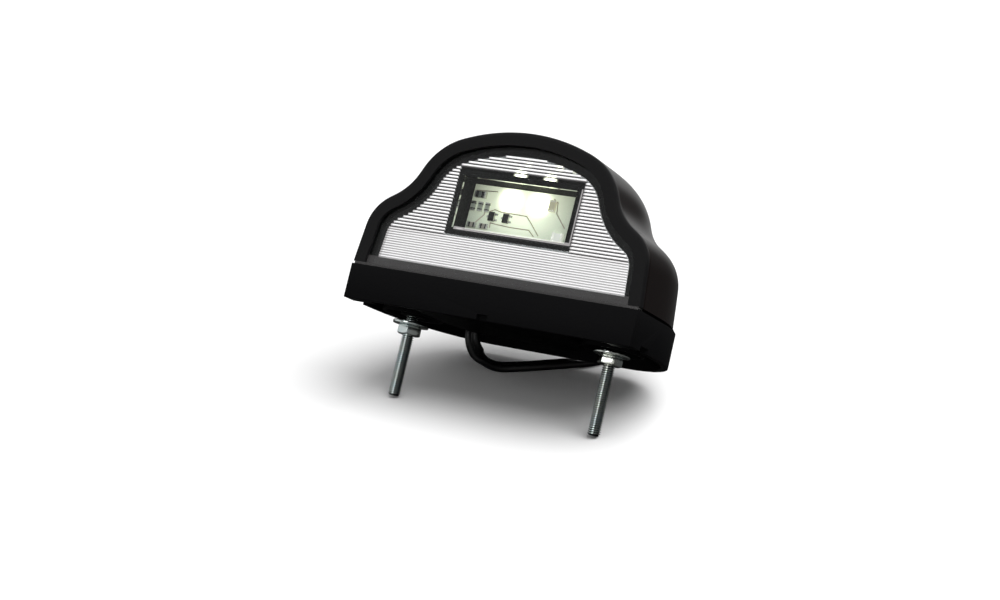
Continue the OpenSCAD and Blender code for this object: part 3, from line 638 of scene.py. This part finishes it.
# a mask of the directions that look toward a side of the room
def roomSide(tree, way, side):
    facing = addNode(tree, "ShaderNodeVectorMath", {0: way, 1: side["toward"]}, operation="DOT_PRODUCT")
    return addNode(tree, "ShaderNodeMapRange", {
        "Value": facing.outputs["Value"], "From Min": side["from"], "From Max": side["to"]},
        interpolation_type="SMOOTHSTEP").outputs["Result"]


# white for the camera and for rays that come straight through the lens, the dome for diffuse rays, and
# the room for gloss
def makeWorld():
    world = bpy.data.worlds.new("whiteStudio")
    bpy.context.scene.world = world
    world.use_nodes = True
    world.cycles.sampling_method = "NONE"
    tree = world.node_tree
    path = addNode(tree, "ShaderNodeLightPath").outputs
    way = addNode(tree, "ShaderNodeTexCoord").outputs["Generated"]
    sides = [(roomSide(tree, way, side), side["level"]) for side in studio["sides"].values()]
    lit = addNode(tree, "ShaderNodeMapRange", {
        "Value": path["Is Diffuse Ray"], "To Min": addUp(tree, sides + [(1.0, studio["room"])]),
        "To Max": studio["dome"]}).outputs["Result"]
    bounced = addNode(tree, "ShaderNodeMath",
                      {0: path["Glossy Depth"], 1: path["Diffuse Depth"]}, operation="ADD").outputs[0]
    straight = addNode(tree, "ShaderNodeMath", {0: bounced, 1: 0.5}, operation="LESS_THAN").outputs[0]
    through = addNode(tree, "ShaderNodeMath",
                      {0: path["Is Transmission Ray"], 1: straight}, operation="MULTIPLY").outputs[0]
    seen = addNode(tree, "ShaderNodeMath",
                   {0: path["Is Camera Ray"], 1: through}, operation="MAXIMUM").outputs[0]
    level = addNode(tree, "ShaderNodeMapRange", {"Value": seen, "To Min": lit, "To Max": 1.0})
    back = tree.nodes["Background"]
    back.inputs["Color"].default_value = hexColour("#ffffff")
    tree.links.new(level.outputs["Result"], back.inputs["Strength"])


# one broad soft light, far behind the lamp on its right, measured from the table
def makeKeyLight():
    key = studio["key"]
    data = bpy.data.lights.new("keyLight", "SUN")
    data.angle = radians(key["width"])
    data.energy = key["strength"]
    lamp = link("keyLight", data)
    lamp.visible_glossy = False
    across, up = radians(key["azimuth"]), radians(key["elevation"])
    way = Vector((cos(across) * cos(up), sin(across) * cos(up), sin(up)))
    lamp.rotation_euler = (tableFrame(0, 0).to_3x3() @ way).to_track_quat("Z", "Y").to_euler()


makeWorld()
makeKeyLight()
bpy.context.scene.view_settings.view_transform = "Standard"
print("table and lights set")


# a copy of a solid with its corners merged
def mergedCopy(node):
    bm = bmesh.new()
    bm.from_mesh(nodes[node].data)
    bmesh.ops.remove_doubles(bm, verts=bm.verts, dist=weld)
    return bm


# hood: a subdivided copy, with its front edge left soft and the other edges hard; angles in degrees
hood = {"joinFlat": 30, "joinShape": 60, "crease": 35, "hard": 50, "levels": 2}


def makeHood():
    bm = mergedCopy("hood")
    bmesh.ops.join_triangles(bm, faces=bm.faces, angle_face_threshold=radians(hood["joinFlat"]),
                             angle_shape_threshold=radians(hood["joinShape"]))
    crease = bm.edges.layers.float.new("crease_edge")
    for e in bm.edges:
        if e.is_manifold and e.calc_face_angle(0) > radians(hood["crease"]):
            e[crease] = 1.0
    mesh = meshFrom(bm, "mouldedHood", hood["hard"])
    piece = makePiece("mouldedHood", mesh, [hoodAbs], ["hood"])
    smooth = piece.modifiers.new("smooth", "SUBSURF")
    smooth.levels = smooth.render_levels = hood["levels"]


makeHood()
print("hood shaped")


# studs: an M4 thread cut as a true helix, with a chamfered tip and a hexagon head; crest and root are
# the shares of a turn between which the thread is at its full and at its least radius
thread = {"pitch": 0.7, "major": 2.0, "minor": 1.6, "crest": (0.0, 0.22), "root": (0.48, 0.74), "steps": 28,
          "tip": 0.5, "head": 2.8, "across": 7.0, "hard": 30}


def makeStud(node):
    low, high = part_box(node)
    x, y = (low.x + high.x) / 2, (low.y + high.y) / 2
    pitch, major, minor = (thread[key] * mm for key in ("pitch", "major", "minor"))
    top = high.z - thread["head"] * mm
    turns = ceil((top - low.z) / pitch) + 2
    bm = bmesh.new()
    chain = []
    for i in range(turns):
        for r, parts in ((major, thread["crest"]), (minor, thread["root"])):
            for part in parts:
                chain.append(bm.verts.new((x + r, y, low.z + (i - 1 + part) * pitch)))
    line = [bm.edges.new(pair) for pair in zip(chain, chain[1:])]
    # the line rises by one pitch as it turns, so its ends are merged after the spin
    bmesh.ops.spin(bm, geom=chain + line, cent=(x, y, 0), axis=(0, 0, 1), angle=2 * pi,
                   dvec=(0, 0, pitch / thread["steps"]), steps=thread["steps"])
    bmesh.ops.remove_doubles(bm, verts=bm.verts, dist=weld)
    for height, side in ((low.z, -1), (top, 1)):
        bmesh.ops.bisect_plane(bm, geom=bm.verts[:] + bm.edges[:] + bm.faces[:], dist=onPlane,
                               plane_co=(0, 0, height), plane_no=(0, 0, side), clear_outer=True)
    for v in bm.verts:
        out = Vector((v.co.x - x, v.co.y - y))
        most = major - thread["tip"] * mm + (v.co.z - low.z)
        if out.length > most:
            out *= most / out.length
            v.co.x, v.co.y = x + out.x, y + out.y
    bmesh.ops.holes_fill(bm, edges=[e for e in bm.edges if e.is_boundary], sides=0)
    corner = thread["across"] / 2 / cos(pi / 6) * mm
    head = bmesh.ops.create_cone(bm, cap_ends=True, segments=6, radius1=corner, radius2=corner,
                                 depth=thread["head"] * mm,
                                 matrix=Matrix.Translation((x, y, top + thread["head"] / 2 * mm)))
    bmesh.ops.rotate(bm, verts=head["verts"], cent=(x, y, 0), matrix=Matrix.Rotation(pi / 6, 3, "Z"))
    bmesh.ops.recalc_face_normals(bm, faces=bm.faces)
    name = "threaded" + node.split("_")[1].capitalize()
    makePiece(name, meshFrom(bm, name, thread["hard"]), [zincThread], [node])


for node in ("stud_left", "stud_right"):
    makeStud(node)
print("studs threaded")


# copies with softened edges: their width in millimetres, the angle in degrees from which an edge is
# softened, and what they are made of
soft = {
    "nut_left": (0.18, 25, "zinc_steel", zinc),
    "nut_right": (0.18, 25, "zinc_steel", zinc),
    "washer_left": (0.14, 25, "zinc_steel", zinc),
    "washer_right": (0.14, 25, "zinc_steel", zinc),
    "base": (0.3, 45, "base_plastic", baseAbs),
    "inner_body": (0.15, 45, "inner_plastic", frameAbs),
    "circuit_board": (0.08, 45, "board_laminate", resist),
}
flatWithin = 0.5  # degrees, within which the triangles of a flat face are joined first


def makeSoftened(node, width, angle, slot, material):
    bm = mergedCopy(node)
    bmesh.ops.dissolve_limit(bm, angle_limit=radians(flatWithin), verts=bm.verts, edges=bm.edges)
    sharp = [e for e in bm.edges if e.is_manifold and e.calc_face_angle(0) > radians(angle)]
    bmesh.ops.bevel(bm, geom=sharp, offset=width * mm, affect="EDGES", segments=2, profile=0.5,
                    material=-1, clamp_overlap=True)
    name = "rounded" + "".join(word.capitalize() for word in node.split("_"))
    makePiece(name, meshFrom(bm, name), [material], [node])


for node, given in soft.items():
    makeSoftened(node, *given)
print("edges softened")


# copper tracks on the board, under the resist
tracks = {
    "width": 0.35,
    "height": 0.05,
    "depth": 12.3,
    "sunk": 0.01,
    "lines": [
        [(-12.5, 26.1), (-11.0, 26.8), (-8.6, 26.3), (-4.2, 26.2), (0.8, 26.1), (3.5, 23.4), (6.3, 20.4)],
        [(-11.4, 20.7), (-11.5, 22.3), (-8.7, 22.0), (-4.0, 21.7), (2.7, 21.7), (4.8, 19.9)],
        [(9.0, 32.9), (10.5, 31.9), (11.0, 28.3), (14.8, 24.0)],
        [(-16.9, 21.8), (-14.5, 24.6), (-14.3, 25.9)],
        [(-19.2, 32.4), (-11.7, 32.8)]],
}


def makeTracks():
    bm = bmesh.new()
    depth = tracks["depth"] - tracks["height"] / 2 + tracks["sunk"]
    for line in tracks["lines"]:
        for (x0, z0), (x1, z1) in zip(line, line[1:]):
            run = Vector((x1 - x0, 0, z1 - z0))
            middle = Vector(((x0 + x1) / 2, depth, (z0 + z1) / 2))
            turn = Vector((1, 0, 0)).rotation_difference(run).to_matrix().to_4x4()
            size = Matrix.Diagonal((run.length + tracks["width"], tracks["height"], tracks["width"], 1))
            place = faceFrame @ Matrix.Scale(mm, 4) @ Matrix.Translation(middle) @ turn @ size
            bmesh.ops.create_cube(bm, size=1, matrix=place)
    bmesh.ops.recalc_face_normals(bm, faces=bm.faces)
    # resist over copper: the board's satin, a shade warmer
    covered = plain("resistOverCopper", "#d8c7b6", Roughness=0.35)
    makePiece("boardTracks", meshFrom(bm, "boardTracks"), [covered])


makeTracks()


# materials of the solids that keep their own mesh
def dress(node, material):
    nodes[node].data.materials.clear()
    nodes[node].data.materials.append(material)


# matt white case of an LED, with a painted glow, and its phosphor: yellow-white, and bright enough to clip
# while it is lit
ledCase = plain("whitePpa", "#f4f4ea", Roughness=0.5, Emission_Color=hexColour("#f8ffd8"),
                Emission_Strength=1.6)
phosphor = plain("litPhosphor", "#fff6c8", Roughness=0.5, Emission_Color=hexColour("#fbffd6"),
                 Emission_Strength=9.0)
ownMesh = {
    "lens": acrylic, "seal": glandRubber, "gland": glandRubber, "reflector": sheetMetal,
    "wire_red": redPvc, "wire_black": leadPvc, "led_left": ledCase, "led_right": ledCase,
    "emitter_left": phosphor, "emitter_right": phosphor,
}
for node, material in ownMesh.items():
    dress(node, material)

# small parts on the board: their material, the axis through their ends, half the length of the body, its
# colour, half the length and the colour of a paler top, and a painted glow of the LEDs' light
tinned = "#c8c8c2"
boardParts = {
    "resistor_1": ("thickFilm1", "Z", 1.05, "#26231f", 0.7, "#d0d2c2", 0.0),
    "resistor_2": ("thickFilm2", "Z", 1.05, "#26231f", 0.7, "#d0d2c2", 0.0),
    "resistor_3": ("thickFilm3", "Z", 1.05, "#26231f", 0.7, "#d0d2c2", 0.0),
    "resistor_4": ("thickFilm4", "X", 1.05, "#1e1c1a", 0.5, "#b9b0a4", 0.0),
    "resistor_5": ("thickFilm5", "X", 1.05, "#1e1c1a", 0.5, "#b9b0a4", 0.0),
    "regulator_1": ("epoxyCase1", "X", 1.05, "#161514", 0.0, None, 0.0),
    "regulator_2": ("epoxyCase2", "X", 1.05, "#161514", 0.0, None, 0.0),
    "diode": ("epoxyDiode", "X", 1.55, "#24211f", 0.5, "#8f938a", 0.0),
    "capacitor": ("tanCeramic", "Z", 1.3, "#dcd6b8", 0.0, None, 0.35),
    "fuse": ("whiteCeramic", "X", 1.2, "#eeeee4", 0.0, None, 0.5),
}


# thick film, moulded epoxy or ceramic: a satin body between tinned ends, which are told from it by their
# distance from its middle
def endCapped(node, name, axis, bodyHalf, bodyColour, topHalf, topColour, glow):
    body = hexColour(bodyColour)
    # the painted glow of the LEDs' light, on the capacitor and the fuse
    material, tree, shader = newMaterial(name, bodyColour, Roughness=0.4, Emission_Strength=glow,
                                         Emission_Color=body)
    middle = sum(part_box(node), Vector()) / 2
    centred = addNode(tree, "ShaderNodeMapping", {
        "Vector": addNode(tree, "ShaderNodeTexCoord").outputs["Object"], "Location": -middle},
        vector_type="POINT")
    split = addNode(tree, "ShaderNodeSeparateXYZ", {"Vector": centred.outputs["Vector"]})
    along = addNode(tree, "ShaderNodeMath", {0: split.outputs[axis]}, operation="ABSOLUTE").outputs[0]
    cap = addNode(tree, "ShaderNodeMath", {0: along, 1: bodyHalf * mm}, operation="GREATER_THAN").outputs[0]
    if topColour:
        inner = addNode(tree, "ShaderNodeMath", {0: along, 1: topHalf * mm}, operation="LESS_THAN")
        body = addNode(tree, "ShaderNodeMix", {
            "Factor": inner.outputs[0], "A": body, "B": hexColour(topColour)},
            data_type="RGBA").outputs["Result"]
    tint = addNode(tree, "ShaderNodeMix", {"Factor": cap, "A": body, "B": hexColour(tinned)}, data_type="RGBA")
    tree.links.new(tint.outputs["Result"], shader.inputs["Base Color"])
    tree.links.new(cap, shader.inputs["Metallic"])
    return material


for node, given in boardParts.items():
    dress(node, endCapped(node, *given))
print("solids dressed")
